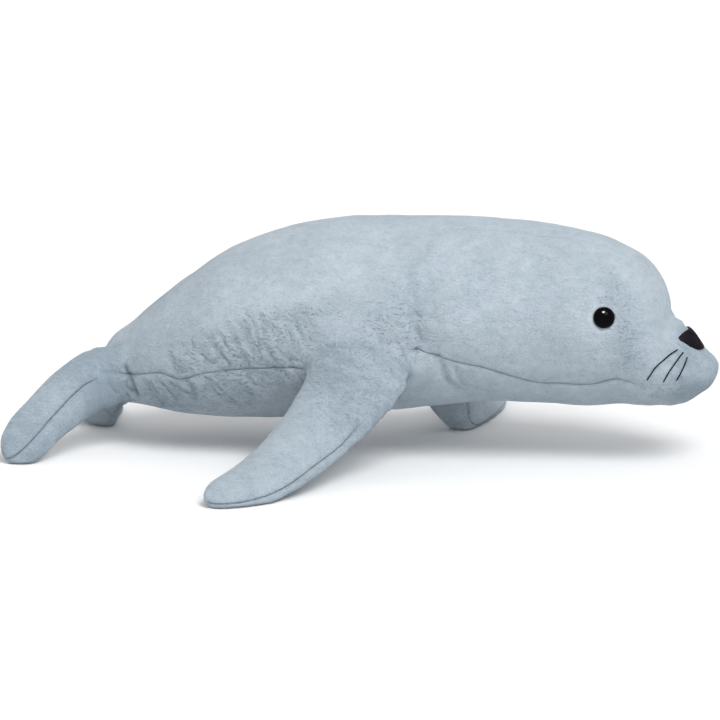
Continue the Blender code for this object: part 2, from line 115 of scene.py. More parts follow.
# The eyes: share of the length and degrees from the middle of the back
EYE_PLACE = 0.8358, 76

# Places on the body: millimetres from the tail and degrees from the middle of the back
BELLY_SEAM = ((4, 84), (17, 86), (31, 95), (57, 100), (73, 108), (88, 106), (136, 107), (174, 109),
              (260, 104), (271, 108), (287, 114), (305, 118), (318, 122), (333, 127), (346, 131),
              (367, 131), (388, 130), (409, 123), (429, 126), (444, 121), (478, 110))
CROWN_SEAM = ((288, 21), (315, 19), (345, 20), (372, 21), (385, 30), (403, 34), (411, 46), (420, 58),
              (428, 72))
# Seams along the flippers: share of the length and degrees round the section
FRONT_SEAM = ((0.00, 34), (0.30, 32), (0.40, 27), (1.00, 25))
HIND_SEAM = ((0.00, 94), (0.37, 92), (0.47, 86), (0.58, 78), (0.74, 72), (0.90, 66), (1.00, 60))

# Each fold: depth and width in millimetres, and its line; a depth below 0 fills a valley
FOLDS = (
    (-1.3, 10.0, ((450, 34), (450.5, 0))),
    (0.8, 12.0, ((411, 43), (418, 59), (424, 79), (419, 95), (413, 112))),
    (0.5, 7.0, ((434, 64), (440, 47), (442.5, 28), (443.5, 0))),
    (1.1, 2.8, ((434, 64), (440, 47), (442.5, 28), (443.5, 0))),
    (2.0, 14.0, ((263, 34), (253, 52), (254, 63), (259, 76), (259, 90), (262, 99))),
    (1.0, 3.0, ((254, 66), (258, 76), (259, 90), (262, 99))),
    (1.0, 3.0, ((248, 82), (258, 81), (269, 82))),
    (1.6, 4.0, ((243, 96), (249, 106), (254, 105), (260, 104))),
    (2.6, 6.0, ((273, 110), (278, 124), (286, 140))),
    (1.6, 4.5, ((285, 117), (287, 124), (289, 131))),
    (1.2, 4.0, ((292, 134), (299, 137), (307, 142))),
    (3.4, 3.6, ((18, 78), (21, 88), (24, 100), (28, 114), (33, 124))),
    (1.2, 4.0, ((15, 95), (18, 108), (22, 120))),
    (1.6, 5.0, ((44, 112), (49, 126), (56, 143))),
    (1.8, 3.6, ((258, 104), (255, 112), (243, 130), (238, 141))),
)

# Where the hind flippers run into the tail: depth, width and a line of points, in millimetres.
# The lines were read off the near side's view, so they are followed along that sight.
TAIL_END = 0.065
TAIL_FOLDS = (
    (3.0, 3.4, ((24.9, -40.1, 66), (26.9, -39.1, 62), (28.9, -42.1, 58), (31.9, -44.1, 54),
                (35.9, -42.1, 45))),
    (1.2, 2.6, ((7.6, -30.1, 58.6), (16.9, -30.1, 59), (25.9, -38.1, 60), (31.0, -42.0, 60.5))),
    (1.6, 3.0, ((10.9, -21.1, 48), (15.9, -29.1, 46), (17.9, -29.1, 43))),
    (1.4, 3.0, ((22.9, -39.1, 50), (25.9, -38.1, 46), (27.9, -36.1, 42))),
)
SIGHT = np.array((0.1699, -0.9633, 0.2079))
SIGHT_DEPTH = 0.03


class Curve:
    """A smooth curve through points, measured along their first few values."""

    def __init__(self, points, measured=None):
        self.points = np.array(points, float)
        self.steps = np.linalg.norm(np.diff(self.points[:, :measured], axis=0), axis=1)
        self.knots = np.concatenate(([0.0], np.cumsum(self.steps)))
        slopes = np.diff(self.points, axis=0) / self.steps[:, None]
        self.tangents = np.empty_like(self.points)
        self.tangents[0], self.tangents[-1] = slopes[0], slopes[-1]
        before, after = self.steps[:-1, None], self.steps[1:, None]
        self.tangents[1:-1] = (slopes[:-1] * after + slopes[1:] * before) / (before + after)
        self.length = self.knots[-1]

    def __call__(self, distance):
        distance = np.clip(np.asarray(distance, float), 0.0, self.length)
        index = np.clip(np.searchsorted(self.knots, distance, side="right") - 1, 0, len(self.steps) - 1)
        step = self.steps[index]
        t = ((distance - self.knots[index]) / step)[..., None]
        step = step[..., None]
        return ((2 * t ** 3 - 3 * t ** 2 + 1) * self.points[index]
                + (t ** 3 - 2 * t ** 2 + t) * step * self.tangents[index]
                + (3 * t ** 2 - 2 * t ** 3) * self.points[index + 1]
                + (t ** 3 - t ** 2) * step * self.tangents[index + 1])


body_low, body_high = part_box("body")
ORIGIN = np.array((body_low.x, (body_low.y + body_high.y) / 2, 0.0))
body_curve = Curve([(share * LENGTH, top * HEIGHT, level * HEIGHT, bottom * HEIGHT, width * WIDTH / 2, pinch)
                    for share, top, level, bottom, width, pinch in STATIONS], 5)
RUNS = np.linspace(0, body_curve.length, 4001)
RUN_X = body_curve(RUNS)[:, 0]


def smooth_point(run, angle):
    """A point of the body's plain form, by distance along its curve and angle from the back."""
    x, top, level, bottom, half, pinch = np.moveaxis(body_curve(run), -1, 0)
    height = np.where(np.cos(angle) > 0, top - level, level - bottom)
    reach = half * np.sin(angle) * (1 - pinch * np.maximum(np.cos(angle), 0))
    return np.stack((x, reach, level + height * np.cos(angle)), -1)


def smooth_normal(run, angle):
    run = np.clip(run, 0.002, body_curve.length - 0.002)
    along = smooth_point(run + 0.002, angle) - smooth_point(run - 0.002, angle)
    around = smooth_point(run, angle + 0.002) - smooth_point(run, angle - 0.002)
    normal = np.cross(along, around)
    return normal / np.linalg.norm(normal, axis=-1, keepdims=True)


def run_at(x):
    return np.interp(x, RUN_X, RUNS)


def place(share, degrees, side):
    """A point on the plain form and the direction that it faces."""
    run, angle = run_at(share * LENGTH), math.radians(degrees) * side
    return smooth_point(run, angle), smooth_normal(run, angle)


def hashed(cells, seed):
    """A repeatable value from 0 to 1 for every cell."""
    cells = cells.astype(np.int64)
    value = cells[..., 0] * 374761393 + cells[..., 1] * 668265263 + cells[..., 2] * 2147483647
    value = value + seed * 1274126177
    value = (value ^ (value >> 13)) * 1274126177
    value = (value ^ (value >> 16)) & 0xFFFFFF
    return value / 0xFFFFFF


def noise(points, seed=0, octaves=1):
    """Smooth noise from -1 to 1 at points of three coordinates, one cell to the unit."""
    total, weight, size = 0.0, 1.0, 0.0
    for octave in range(octaves):
        scaled = points * 2 ** octave + 17.3 * octave
        base = np.floor(scaled)
        t = scaled - base
        t = t * t * t * (t * (t * 6 - 15) + 10)
        value = 0.0
        for corner in range(8):
            step = np.array((corner & 1, corner >> 1 & 1, corner >> 2 & 1))
            share = np.prod(np.where(step, t, 1 - t), -1)
            value = value + share * hashed(base + step, seed + octave)
        total = total + (value * 2 - 1) * weight
        size += weight
        weight *= 0.5
    return total / size


def line_distance(x, arc, radius, line):
    """Distance to a line of places on the skin, in metres."""
    near = np.full(x.shape, 1.0)
    for (x0, a0), (x1, a1) in zip(line, line[1:]):
        sx, sy = x0 / 1000, math.radians(a0) * radius
        dx, dy = (x1 - x0) / 1000, math.radians(a1) * radius - sy
        ox, oy = x - sx, arc - sy
        along = np.clip((ox * dx + oy * dy) / (dx * dx + dy * dy + 1e-12), 0, 1)
        near = np.minimum(near, np.hypot(ox - along * dx, oy - along * dy))
    return near


def sight_distance(points, line):
    """Distance to a line as the camera's side sees it, for points near the line."""
    near = np.full(len(points), 1.0)
    for start, end in zip(line, line[1:]):
        step = end - start
        step = step - SIGHT * (step @ SIGHT)
        offset = points - start
        depth = offset @ SIGHT
        offset = offset - depth[:, None] * SIGHT
        along = np.clip(offset @ step / (step @ step), 0, 1)
        gap = np.linalg.norm(offset - along[:, None] * step, axis=1)
        near = np.minimum(near, np.where(np.abs(depth) < SIGHT_DEPTH, gap, 1.0))
    return near


def seam_offset(x, degrees, radius, line):
    """Distance past a seam that runs along the body, in metres, negative above it."""
    curve = Curve([(distance / 1000, angle) for distance, angle in line], 1)
    start = line[0][0] / 1000
    seam = curve(x - start)[..., 1]
    slope = (curve(x - start + 0.002)[..., 1] - curve(x - start - 0.002)[..., 1]) / 0.004
    steep = np.radians(slope) * radius
    return np.radians(degrees - seam) * radius / np.sqrt(1 + steep ** 2)


def bump_at(distance, width):
    return np.exp(-(2 * distance / width) ** 2)


def smoothstep(low, high, value):
    t = np.clip((value - low) / (high - low), 0, 1)
    return t * t * (3 - 2 * t)


def closed_faces(rings, sides, start=0):
    """Faces of a closed grid: its rings of points, then one point at each end."""
    index = start + np.arange(rings * sides).reshape(rings, sides)
    after = np.roll(index, -1, 1)
    quads = np.stack((index[:-1], after[:-1], after[1:], index[1:]), -1).reshape(-1, 4).tolist()
    first, last = start + rings * sides, start + rings * sides + 1
    ends = [(first, int(after[0, s]), int(index[0, s])) for s in range(sides)]
    ends += [(last, int(index[-1, s]), int(after[-1, s])) for s in range(sides)]
    return quads + ends


def new_object(name, points, faces):
    mesh = bpy.data.meshes.new(name)
    mesh.from_pydata(np.asarray(points).tolist(), [], faces)
    made = bpy.data.objects.new(name, mesh)
    bpy.context.scene.collection.objects.link(made)
    return made


def store(mesh, key, values):
    """Keeps a value, or a row of three, on each point of a mesh."""
    values = np.asarray(values, np.float32)
    if values.ndim == 2:
        mesh.attributes.new(key, "FLOAT_VECTOR", "POINT").data.foreach_set("vector", values.ravel())
    else:
        mesh.attributes.new(key, "FLOAT", "POINT").data.foreach_set("value", values)


def grid_mesh(name, points, first, last, nap):
    """A closed piece from rings of points, with a point at each end."""
    every = np.concatenate((points.reshape(-1, 3), [first, last]))
    made = new_object(name, every, closed_faces(*points.shape[:2]))
    store(made.data, "nap", np.concatenate((nap.reshape(-1, 3), [nap[0].mean(0), nap[-1].mean(0)])))
    made.data.shade_smooth()
    return made


def gap_to(tree, points, reach):
    """Distance from each point to a shape, and the reach where it is further."""
    gaps = np.full(len(points), reach)
    low, high = boxes[tree]
    close = np.all((points > low - reach) & (points < high + reach), axis=1)
    for number in np.flatnonzero(close):
        gap = tree.find_nearest(points[number], reach)[3]
        if gap is not None:
            gaps[number] = gap
    return gaps


def flipper_rings(name, count, sides):
    """Rings of points along a flipper's pose, with its ends, shares of its length, sizes and length."""
    (root, depth, reach, width, thickness, sections), side, pose = POSES[name]
    start, outward = place(*root, side)
    start = start - outward * depth
    rows = []
    for (wide, thick), ((x, y, z), edge) in zip(sections, pose):
        rows.append((start[0] + x * reach, start[1] + y * reach, start[2] * z, *edge,
                     wide * width, thick * thickness))
    station = Curve(rows, 3)
    tip = rows[-1][6] * TIP_ROUNDING / station.length
    shares = np.linspace(0, 1, count + 1)
    rounded = 1 - tip * (1 - np.sin(np.pi / 2 * (shares - 1 + tip) / tip))
    shares = np.where(shares > 1 - tip, rounded, shares)[:-1]
    row = station(station.length * shares)
    ahead = (station(station.length * np.minimum(shares + 0.01, 1))
             - station(station.length * np.maximum(shares - 0.01, 0)))
    edge = row[:, 3:6] / np.linalg.norm(row[:, 3:6], axis=1, keepdims=True)
    face = np.cross(ahead[:, :3], edge)
    face /= np.linalg.norm(face, axis=1, keepdims=True)
    taper = np.sqrt(1 - (np.maximum(shares - 1 + tip, 0) / tip) ** 2)
    half, thick = row[:, 6] / 2 * taper, row[:, 7] / 2 * taper
    angle = 2 * np.pi * np.arange(sides) / sides
    across = edge[:, None] * half[:, None, None] * np.cos(angle)[None, :, None]
    through = face[:, None] * thick[:, None, None] * np.sin(angle)[None, :, None]
    ends = station(0.0)[:3], station(station.length)[:3]
    return row[:, None, :3] + across + through, ends, shares, half, thick, station.length


# One skin is sewn over the body and the flippers, and then shared out among the pieces
VOXEL = 0.0034
# how far from the body and from each flipper their join is rounded
JOIN_SIZE = {"front_flipper_right": 0.017, "front_flipper_left": 0.014,
             "hind_flipper_right": 0.012, "hind_flipper_left": 0.012}
FLOOR_LEVEL = 0.0003
RINGS, SIDES = 240, 160
runs = body_curve.length * np.arange(1, RINGS) / RINGS
around = 2 * np.pi * (np.arange(SIDES) + 0.5) / SIDES
parts = {"body": (smooth_point(*np.meshgrid(runs, around, indexing="ij")),
                  smooth_point(0.0, 0.0), smooth_point(body_curve.length, 0.0))}
for name in POSES:
    grid, ends, *_ = flipper_rings(name, 90, 64)
    grid[..., 2] = np.maximum(grid[..., 2], FLOOR_LEVEL)
    parts[name] = (grid, *[np.maximum(end, (-9, -9, FLOOR_LEVEL)) for end in ends])
trees, boxes = {}, {}
for name, (grid, first, last) in parts.items():
    points = np.concatenate((grid.reshape(-1, 3), [first, last]))
    trees[name] = BVHTree.FromPolygons(points.tolist(), closed_faces(*grid.shape[:2]))
    boxes[trees[name]] = points.min(0), points.max(0)


def evaluated(made):
    """The mesh that an object's modifiers give, in place of the object."""
    mesh = bpy.data.meshes.new_from_object(made.evaluated_get(bpy.context.evaluated_depsgraph_get()))
    bpy.data.objects.remove(made)
    return mesh


def points_of(mesh):
    points = np.empty(len(mesh.vertices) * 3)
    mesh.vertices.foreach_get("co", points)
    return points.reshape(-1, 3)


def edges_of(mesh):
    edges = np.empty(len(mesh.edges) * 2, np.int64)
    mesh.edges.foreach_get("vertices", edges)
    return edges.reshape(-1, 2).T


def averaged(values, edges, count):
    """The mean of each point's neighbours."""
    a, b = edges
    size = len(count)
    if values.ndim == 1:
        return (np.bincount(a, values[b], size) + np.bincount(b, values[a], size)) / count
    return np.stack([averaged(column, edges, count) for column in values.T], 1)


def neighbours(edges, size):
    return np.bincount(edges[0], minlength=size) + np.bincount(edges[1], minlength=size)


def join_weight(gaps):
    """1 where a flipper runs into the body, and 0 away from there."""
    weight = 0.0
    for name, size in JOIN_SIZE.items():
        near = smoothstep(size, size * 0.4, gaps[name]) * smoothstep(size, size * 0.4, gaps["body"])
        weight = np.maximum(weight, near)
    return weight


def body_places(points):
    """Distance along the body, degrees from the back, the skin's radius and the way round it."""
    x = np.clip(points[:, 0], 0.0004, LENGTH - 0.0004)
    _, top, level, bottom, half, pinch = body_curve(run_at(x)).T
    up = points[:, 2] - level
    cosine = up / np.where(up > 0, top - level, level - bottom)
    reach = half * (1 - pinch * np.clip(cosine, 0, 1))
    turn = np.abs(np.arctan2(points[:, 1] / reach, cosine))
    radius = np.maximum((half + (top - bottom) / 2) / 2, 0.004)
    return x, np.degrees(turn), radius, turn * radius


def window(value, start, full, last, end):
    """1 between full and last, and 0 before start and after end."""
    return smoothstep(start, full, value) * (1 - smoothstep(last, end, value))


# The filling's simulation: its pressure, its frames, and the furthest that it moves a point
PRESSURE, FRAMES, CAP = 2.6, 14, 0.0032
# How the skin is smoothed after sewing: rounds, how far a round moves a point, and the first few
# rounds, which also soften the rest a little
ROUNDS, FULL_MOVE, SOFT_ROUNDS, SOFT_SHARE = 16, 0.6, 5, 0.2
# how often the pieces' shares of the skin are evened out
SHARE_ROUNDS = 14


def swelling(mesh, points, join):
    """How the filling presses the skin out between the lines that hold it, from a cloth simulation."""
    x, degrees, radius, _ = body_places(points)
    belly = np.abs(seam_offset(x, degrees, radius, BELLY_SEAM)) + 0.02 * (x > 0.44)
    crown = np.abs(seam_offset(x, degrees, radius, CROWN_SEAM)) + 0.02 * ((x < 0.29) | (x > 0.425))
    held = np.flatnonzero((belly < 0.0024) | (crown < 0.0018) | (join > 0.9) | (points[:, 2] < 0.001))
    made = bpy.data.objects.new("stuffed", mesh.copy())
    bpy.context.scene.collection.objects.link(made)
    made.vertex_groups.new(name="held").add(held.tolist(), 1.0, "REPLACE")
    cloth = made.modifiers.new("cloth", "CLOTH")
    cloth.point_cache.frame_start, cloth.point_cache.frame_end = 1, FRAMES
    cloth.settings.quality = 3
    cloth.settings.vertex_group_mass = "held"
    cloth.settings.use_pressure = True
    cloth.settings.uniform_pressure_force = PRESSURE
    cloth.settings.effector_weights.gravity = 0
    for number in range(1, FRAMES + 1):
        bpy.context.scene.frame_set(number)
    move = points_of(evaluated(made)) - points
    bpy.context.scene.frame_set(1)
    size = np.linalg.norm(move, axis=1, keepdims=True)
    return move * np.minimum(1, CAP / np.maximum(size, 1e-9))


def sewn_skin():
    """All the stuffed shapes as one skin, smoothed where one runs into another, and how it swells."""
    points, faces = [], []
    for grid, first, last in parts.values():
        faces += closed_faces(*grid.shape[:2], len(points))
        points += grid.reshape(-1, 3).tolist() + [list(first), list(last)]
    made = new_object("sewn", points, faces)
    step = made.modifiers.new("remesh", "REMESH")
    step.mode = "VOXEL"
    step.voxel_size = VOXEL
    mesh = evaluated(made)
    points, edges = points_of(mesh), edges_of(mesh)
    count = neighbours(edges, len(points))
    join = join_weight({name: gap_to(tree, points, 0.03) for name, tree in trees.items()})
    for number in range(ROUNDS):
        share = np.maximum(join, SOFT_SHARE if number < SOFT_ROUNDS else 0.0)
        points = points + (averaged(points, edges, count) - points) * FULL_MOVE * share[:, None]
    mesh.vertices.foreach_set("co", points.ravel())
    mesh.update()
    store(mesh, "swell", swelling(mesh, points, join))
    made = bpy.data.objects.new("sewn", mesh)
    bpy.context.scene.collection.objects.link(made)
    step = made.modifiers.new("finer", "SUBSURF")
    step.levels = 1
    return evaluated(made)


skin = sewn_skin()
POINTS = points_of(skin)
EDGES = edges_of(skin)
COUNT = neighbours(EDGES, len(POINTS))
FACES = np.empty(len(skin.polygons) * 4, np.int64)
skin.polygons.foreach_get("vertices", FACES)
FACES = FACES.reshape(-1, 4)
SWELL = np.empty(len(POINTS) * 3)
skin.attributes["swell"].data.foreach_get("vector", SWELL)
SWELL = SWELL.reshape(-1, 3)
GAPS = {name: gap_to(tree, POINTS, 0.04) for name, tree in trees.items()}
JOIN = join_weight(GAPS)
# how far each point belongs to each flipper: 0 on the body, 1 on the flipper
OWN = {}
for name in POSES:
    others = np.min([gaps for other, gaps in GAPS.items() if other != name], 0)
    own = others / (others + GAPS[name] + 0.0002)
    for _ in range(SHARE_ROUNDS):
        own = averaged(own, EDGES, COUNT)
    OWN[name] = own
OWNER = np.argmax(np.stack([np.full(len(POINTS), 0.5)] + [OWN[name] for name in POSES]), 0)
# away from the joins the skin lies on the measured shapes
for number, (name, tree) in enumerate(trees.items()):
    for index in np.flatnonzero((OWNER == number) & (JOIN < 0.98)):
        spot = np.array(tree.find_nearest(POINTS[index])[0])
        POINTS[index] = spot + (POINTS[index] - spot) * JOIN[index]
skin.vertices.foreach_set("co", POINTS.ravel())
skin.update()
NORMALS = np.empty(len(POINTS) * 3)
skin.vertex_normals.foreach_get("vector", NORMALS)
NORMALS = NORMALS.reshape(-1, 3)
# the shapes were measured on the stuffed toy, so the swelling counts from its mean
swell_rise = np.sum(SWELL * NORMALS, 1)


def body_fields(points):
    """The body's own relief and colours: seams, folds and gathers, with painted shade in the folds, the
    gathers, the cheek's valley and under the chin.
    """
    x, degrees, radius, arc = body_places(points)
    world = points * 1000
    mirror = 40 * np.sign(points[:, 1])
    belly = seam_offset(x, degrees, radius, BELLY_SEAM)
    crown = seam_offset(x, degrees, radius, CROWN_SEAM)
    belly_hold = window(x, 0.010, 0.020, 0.405, 0.442) * (1 - 0.8 * window(x, 0.190, 0.215, 0.248, 0.258))
    crown_hold = window(x, 0.284, 0.300, 0.408, 0.430)
    rise = -belly_hold * (0.0009 * bump_at(belly, 0.020) + 0.0008 * bump_at(belly, 0.0036))
    rise -= crown_hold * (0.0003 * bump_at(crown, 0.014) + 0.0002 * bump_at(crown, 0.003))
    # painted shade along the belly seam, under the panel above it
    crease_shade = 0.45 * belly_hold * bump_at(belly, 0.0030)
    wobble = 0.0012 * noise(world / 14, 5)
    # each fold sinks the skin, and shade is painted into its valley
    for depth, width, line in FOLDS:
        gap = line_distance(x + wobble, arc + wobble, radius, line)
        rise -= depth / 1000 * bump_at(gap, width / 1000)
        crease_shade += 0.14 * max(depth, 0) * bump_at(gap, width / 1000 * 0.7)

    # gathers across the rear of the belly seam, leaning to the head as they run down, with painted shade in
    # their valleys
    u, v = (0.90 * x - 0.42 * arc) * 1000, (0.42 * x + 0.90 * arc) * 1000
    bend = 1.6 * noise(world / 16, 13)
    soft = noise(np.stack(((u + bend) / 5.2, v / 60, mirror), -1), 11) + 0.25 * noise(world / 7, 12)
    fine = noise(np.stack(((u + bend) / 3.2, v / 30, mirror), -1), 15, 2)
    under = window(x, 0.036, 0.052, 0.108, 0.145) * window(degrees, 104, 110, 138, 158)
    over = window(x, 0.058, 0.072, 0.104, 0.140) * window(degrees, 70, 84, 101, 106)
    rough = window(x, 0.098, 0.124, 0.168, 0.200) * window(degrees, 64, 78, 118, 138)
    band = np.maximum(under, over)
    valley = np.exp(-(soft / 0.14) ** 2)
    small = np.exp(-(fine / 0.20) ** 2)
    rise += band * (0.0006 * soft - 0.0016 * valley)
    rise += np.maximum(rough, 0.5 * band) * (0.0003 * fine - 0.0013 * small)
    crease_shade += 0.50 * band * valley + 0.40 * np.maximum(rough, 0.4 * band) * small

    # small creases over the root of the front flipper, with painted shade in them
    star = np.exp(-((x - 0.246) / 0.026) ** 2 - ((degrees - 90) / 17) ** 2)
    rise -= 0.0010 * star * small
    crease_shade += 0.34 * star * small
    cheek = np.exp(-((x - 0.412 - 0.03 * (degrees - 75) / 100) / 0.010) ** 2)
    cheek = cheek * window(degrees, 35, 50, 100, 118)
    chin = window(x, 0.40, 0.43, 0.47, 0.478) * window(degrees, 104, 122, 190, 200)

    # a lighter patch of pile high on the side, the rear of the belly darker partly from its pile and partly
    # as painted shade, painted shade in the valley across the head in front of the eyes, and darker towards
    # the muzzle's tip
    tone_and_shade = 0.05 * window(x, 0.165, 0.180, 0.205, 0.222) * window(degrees, 28, 38, 60, 72)
    tone_and_shade -= 0.04 * window(x, 0.112, 0.130, 0.172, 0.186) * window(degrees, 70, 75, 125, 150)
    tone_and_shade -= 0.10 * cheek + 0.19 * smoothstep(0.438, 0.458, x)
    # dark flecks of the pile all over, denser in the gathers, the small creases, the cheek's valley and
    # under the chin as painted shade
    fleck_and_shade = np.clip(0.35 + rough + 0.7 * band + star + 0.9 * cheek + 0.6 * chin, 0, 1)
    gap = 1.0
    for side in (-1, 1):
        spot, _ = place(*EYE_PLACE, side)
        gap = np.minimum(gap, np.linalg.norm(points - spot, axis=-1))
    rise -= 0.0014 * (1 - smoothstep(0.0072, 0.0130, gap))
    tone_and_shade += 0.16 * bump_at(gap - 0.0098, 0.003)
    return {"rise": rise, "crease_shade": crease_shade, "tone_and_shade": tone_and_shade, "fleck_and_shade": fleck_and_shade, "line": crown,
            "hold": 0.22 * crown_hold, "belly": belly, "belly_hold": belly_hold}


def flipper_fields(name, points):
    """A flipper's own relief and colours, at points near it, with painted shade along its seam and in its
    root's creases, and painted light and shade on each side's flippers.
    """
    grid, _, shares, half, thick, length = flipper_rings(name, 200, 120)
    tree = KDTree(grid.shape[0] * grid.shape[1])
    for number, point in enumerate(grid.reshape(-1, 3)):
        tree.insert(point, number)
    tree.balance()
    nearest = np.array([tree.find(point)[1] for point in points])
    ring, spoke = np.divmod(nearest, grid.shape[1])
    along = np.gradient(grid, axis=0)[ring, spoke]
    turning = ((np.roll(grid, -1, 1) - np.roll(grid, 1, 1)) / 2)[ring, spoke]
    offset = points - grid[ring, spoke]
    steps = np.sum(offset * along, -1) / np.sum(along * along, -1)
    turns = np.sum(offset * turning, -1) / np.sum(turning * turning, -1)
    share = np.interp(ring + np.clip(steps, -1, 1), np.arange(len(shares)), shares)
    degrees = (spoke + np.clip(turns, -1, 1)) * 360 / grid.shape[1]
    if name.endswith("left"):
        degrees = -degrees
    front = name.startswith("front")
    seam = np.interp(share, *np.array(FRONT_SEAM if front else HIND_SEAM).T)
    past = (degrees - seam + 180) % 360 - 180
    wide, deep = half[ring], thick[ring]
    line = np.radians(past) * np.hypot(wide * np.sin(np.radians(seam)), deep * np.cos(np.radians(seam)))
    hold = (np.abs(past) < 70) * smoothstep(0.26, 0.36, share)
    around = np.radians((degrees + 180) % 360 - 180) * (wide + deep) / 2
    rise = -hold * (0.0006 * bump_at(line, 0.012) + 0.0007 * bump_at(line, 0.0034))
    # painted shade along the flipper's seam
    crease_shade = 0.55 * hold * bump_at(line, 0.0026)
    root = 1 - smoothstep(0.30, 0.52, share)
    ridges = noise(np.stack((share * length * 1000 / 4.6, around * 1000 / 19, 0 * share), -1), 31, 2)
    valley = np.exp(-(ridges / 0.16) ** 2)
    rise += root * (0.0003 * ridges - 0.0008 * valley)
    # painted shade in the root's creases
    crease_shade += 0.26 * root * valley
    # the root darker as painted shade where it meets the body, the left flippers lighter as painted light
    # and the right ones darker as painted shade
    tone_and_shade = -0.05 * root + (0.16 if name.endswith("left") else -0.09)
    hold = hold * smoothstep(0.55, 0.85, OWN[name][NEAR[name]])
    # flecks denser towards the root as painted shade
    return {"rise": rise, "crease_shade": crease_shade, "tone_and_shade": tone_and_shade, "fleck_and_shade": 0.3 + 0.4 * root, "line": line,
            "hold": hold, "belly": np.full(len(share), 0.02), "belly_hold": 0 * share}


fields = body_fields(POINTS)
NEAR = {name: np.flatnonzero(OWN[name] > 0.03) for name in POSES}
for name, near in NEAR.items():
    own = smoothstep(0.15, 0.85, OWN[name][near])
    for key, values in flipper_fields(name, POINTS[near]).items():
        if key in ("line", "belly"):
            fields[key][near] = np.where(OWN[name][near] > 0.5, values, fields[key][near])
        else:
            fields[key][near] += (values - fields[key][near]) * own
# the seam of each front flipper along the belly, with painted shade along it
for name in ("front_flipper_right", "front_flipper_left"):
    rim = np.exp(-((OWN[name] - 0.5) / 0.05) ** 2) * smoothstep(98, 110, body_places(POINTS)[1])
    fields["rise"] -= 0.0010 * rim
    fields["crease_shade"] = np.maximum(fields["crease_shade"], 0.6 * rim)
# folds and the end of the belly seam where the hind flippers run into the tail, with painted shade in the
# folds
flat = (POINTS * (1, 0, 1) - (0, 1, 0) * np.abs(POINTS[:, 1:2]))[POINTS[:, 0] < TAIL_END]
tail = np.flatnonzero(POINTS[:, 0] < TAIL_END)
for depth, width, line in TAIL_FOLDS:
    gap = sight_distance(flat, np.array(line) / 1000)
    fields["rise"][tail] -= depth / 1000 * bump_at(gap, width / 1000)
    fields["crease_shade"][tail] += 0.32 * depth * bump_at(gap, width / 1000 * 0.7)
# the tail's end darker as painted shade
fields["tone_and_shade"] -= 0.08 * (1 - smoothstep(0.04, 0.12, POINTS[:, 0]))
# the uneven filling and the pile
fields["rise"] += swell_rise - swell_rise.mean()
fields["rise"] += 0.0009 * noise(POINTS * 1000 / 34, 3) + 0.0005 * noise(POINTS * 1000 / 15, 4)
fields["rise"] += 0.00016 * noise(POINTS * 1000 / (4.5, 3, 3), 8, 2)
# the skin sunk under the nose's stitches
nose_offset = POINTS - place((LENGTH - NOSE_SETBACK) / LENGTH, 0, 1)[0]
forward = nose_offset[:, 0] + NOSE_SWEEP * (nose_offset[:, 1] / NOSE_REACH) ** 2
sunk = 1 - smoothstep(0.80, 1.10, np.hypot(forward / 0.0108, nose_offset[:, 1] / 0.0200))
sunk *= nose_offset[:, 2] > -0.025
fields["rise"] += (-0.0008 - fields["rise"]) * sunk
POINTS += NORMALS * fields["rise"][:, None]
POINTS[:, 2] = np.maximum(POINTS[:, 2], FLOOR_LEVEL)
POINTS += ORIGIN
skin.vertices.foreach_set("co", POINTS.ravel())
skin.update()
skin.vertex_normals.foreach_get("vector", NORMALS.ravel())


def share_out():
    """Which piece each face of the skin belongs to, with no point where a piece only touches itself."""
    owner = np.max(OWNER[FACES], 1)
    for _ in range(20):
        bad = []
        for number in range(1, len(POSES) + 1):
            mine = FACES[owner == number]
            directed = np.stack((mine, np.roll(mine, -1, 1)), -1).reshape(-1, 2)
            forward = directed[:, 0] * len(POINTS) + directed[:, 1]
            backward = directed[:, 1] * len(POINTS) + directed[:, 0]
            rim = directed[~np.isin(forward, backward)]
            spots, times = np.unique(rim[:, 0], return_counts=True)
            bad += [(number, spot) for spot in spots[times > 1]]
        if not bad:
            return owner
        for number, spot in bad:
            owner[np.any(FACES == spot, 1)] = number
    return owner


# How far the skin turns in behind a rim
RIM_DEPTH = 0.004


def cut_piece(name, mask, inside):
    """One piece of the skin, closed behind each rim by a fan of faces that no view reaches."""
    mine = FACES[mask]
    used, faces = np.unique(mine, return_inverse=True)
    faces = faces.reshape(-1, 4)
    directed = np.stack((faces, np.roll(faces, -1, 1)), -1).reshape(-1, 2)
    pairs = {(int(a), int(b)) for a, b in directed}
    follows = {a: b for a, b in pairs if (b, a) not in pairs}
    points = POINTS[used].tolist()
    normals = NORMALS[used].tolist()
    polygons = faces.tolist()
    extra = []
    while follows:
        start = next(iter(follows))
        loop = [start]
        while follows[loop[-1]] != start:
            loop.append(follows[loop[-1]])
        for spot in loop:
            del follows[spot]
        middle = np.mean([points[spot] for spot in loop], 0)
        wall = range(len(points), len(points) + len(loop))
        points += [(np.array(points[spot]) - np.array(normals[spot]) * RIM_DEPTH).tolist() for spot in loop]
        points.append((middle + (inside(middle) - middle) * 0.25).tolist())
        normals += [[0.0, 0.0, 1.0]] * (len(loop) + 1)
        extra += loop + [loop[0]]
        for number, spot in enumerate(loop):
            after = (number + 1) % len(loop)
            polygons.append((loop[after], spot, wall[number], wall[after]))
            polygons.append((wall[after], wall[number], len(points) - 1))
    made = new_object("plush_" + name, points, polygons)
    kept = used[np.arange(len(used)).tolist() + extra]
    # tones with painted light and shade, flecks with painted shade, and painted shade in creases
    for key in ("crease_shade", "tone_and_shade", "fleck_and_shade"):
        store(made.data, key, fields[key][kept])
    # the seams, first the belly's and then the piece's own, in millimetres
    lines = [np.clip(fields[key][kept], -0.02, 0.02) * 1000 for key in ("belly", "line", "belly")]
    store(made.data, "lines", np.stack(lines, -1))
    store(made.data, "holds", np.stack([fields[key][kept] for key in ("belly_hold", "hold", "hold")], -1))
    made.data.shade_smooth()
    made.data.normals_split_custom_set_from_vertices(normals)
    return made


